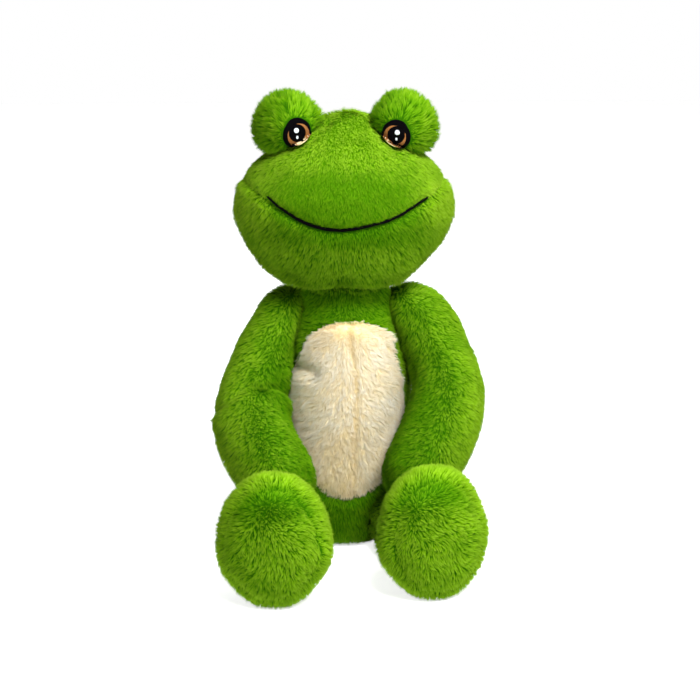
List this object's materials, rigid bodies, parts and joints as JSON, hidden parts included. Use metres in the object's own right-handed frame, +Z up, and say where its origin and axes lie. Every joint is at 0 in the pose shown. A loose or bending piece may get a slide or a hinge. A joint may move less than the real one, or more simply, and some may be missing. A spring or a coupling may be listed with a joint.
{
  "type": "plush frog",
  "caption": "Seated plush frog with a wide head, eye domes on its crown, a pale belly patch, long floppy arms resting on its thighs and big upright feet.",
  "frame": {"origin": "middle of the flat under the seat, on the plane that the toy sits on", "axes": "+Z up, -Y to the toy's front, +X to the toy's own left"},
  "size_m": [0.2307, 0.2586, 0.3913],
  "materials": {
    "green_plush": "long soft polyester pile, moss green, darker at its roots",
    "cream_plush": "long soft polyester pile, cream",
    "fibre": "loose white polyester fibre",
    "pellets": "plastic pellets in a plain woven pouch",
    "black_thread": "satin-stitched embroidery thread, near black, with brown, cream and white stitches in the eyes"
  },
  "bodies": {
    "torso": {"torso_front": "green_plush", "torso_back": "green_plush", "belly_patch": "cream_plush", "torso_stuffing": "fibre", "pellet_pouch": "pellets"},
    "neck": {"neck_seam": "green_plush"},
    "head": {"head_face": "green_plush", "head_chin": "green_plush", "head_back": "green_plush", "head_stuffing": "fibre", "mouth_embroidery": "black_thread", "left_eye_dome": "green_plush", "left_eye_dome_stuffing": "fibre", "left_eye_embroidery": "black_thread", "right_eye_dome": "green_plush", "right_eye_dome_stuffing": "fibre", "right_eye_embroidery": "black_thread"},
    "left_arm": {"left_arm_front": "green_plush", "left_arm_back": "green_plush", "left_arm_stuffing": "fibre"},
    "right_arm": {"right_arm_front": "green_plush", "right_arm_back": "green_plush", "right_arm_stuffing": "fibre"},
    "left_leg": {"left_leg_top": "green_plush", "left_leg_bottom": "green_plush", "left_leg_stuffing": "fibre"},
    "right_leg": {"right_leg_top": "green_plush", "right_leg_bottom": "green_plush", "right_leg_stuffing": "fibre"},
    "left_foot": {"left_foot_upper": "green_plush", "left_foot_sole": "green_plush", "left_foot_stuffing": "fibre"},
    "right_foot": {"right_foot_upper": "green_plush", "right_foot_sole": "green_plush", "right_foot_stuffing": "fibre"}
  },
  "joints": [
    {"name": "neck_nod", "type": "hinge", "parent": "torso", "child": "neck", "pos_m": [0, 0, 0.21], "axis": [1, 0, 0], "range_deg": [-12, 15]},
    {"name": "neck_turn", "type": "hinge", "parent": "neck", "child": "head", "pos_m": [0, 0, 0.21], "axis": [0, 0, 1], "range_deg": [-25, 25]},
    {"name": "left_shoulder", "type": "hinge", "parent": "torso", "child": "left_arm", "pos_m": [0.05948, 0.004, 0.199], "axis": [0, -1, 0], "range_deg": [0, 85]},
    {"name": "right_shoulder", "type": "hinge", "parent": "torso", "child": "right_arm", "pos_m": [-0.04848, 0.004, 0.199], "axis": [0, 1, 0], "range_deg": [0, 85]},
    {"name": "left_hip", "type": "hinge", "parent": "torso", "child": "left_leg", "pos_m": [0.044, -0.045, 0.0255], "axis": [1, 0, 0], "range_deg": [0, 55]},
    {"name": "right_hip", "type": "hinge", "parent": "torso", "child": "right_leg", "pos_m": [-0.044, -0.045, 0.0255], "axis": [1, 0, 0], "range_deg": [0, 55]},
    {"name": "left_ankle", "type": "hinge", "parent": "left_leg", "child": "left_foot", "pos_m": [0.05627, -0.12709, 0.0235], "axis": [1, 0, 0], "range_deg": [-12, 15]},
    {"name": "right_ankle", "type": "hinge", "parent": "right_leg", "child": "right_foot", "pos_m": [-0.06015, -0.13659, 0.0235], "axis": [1, 0, 0], "range_deg": [-12, 15]}
  ]
}
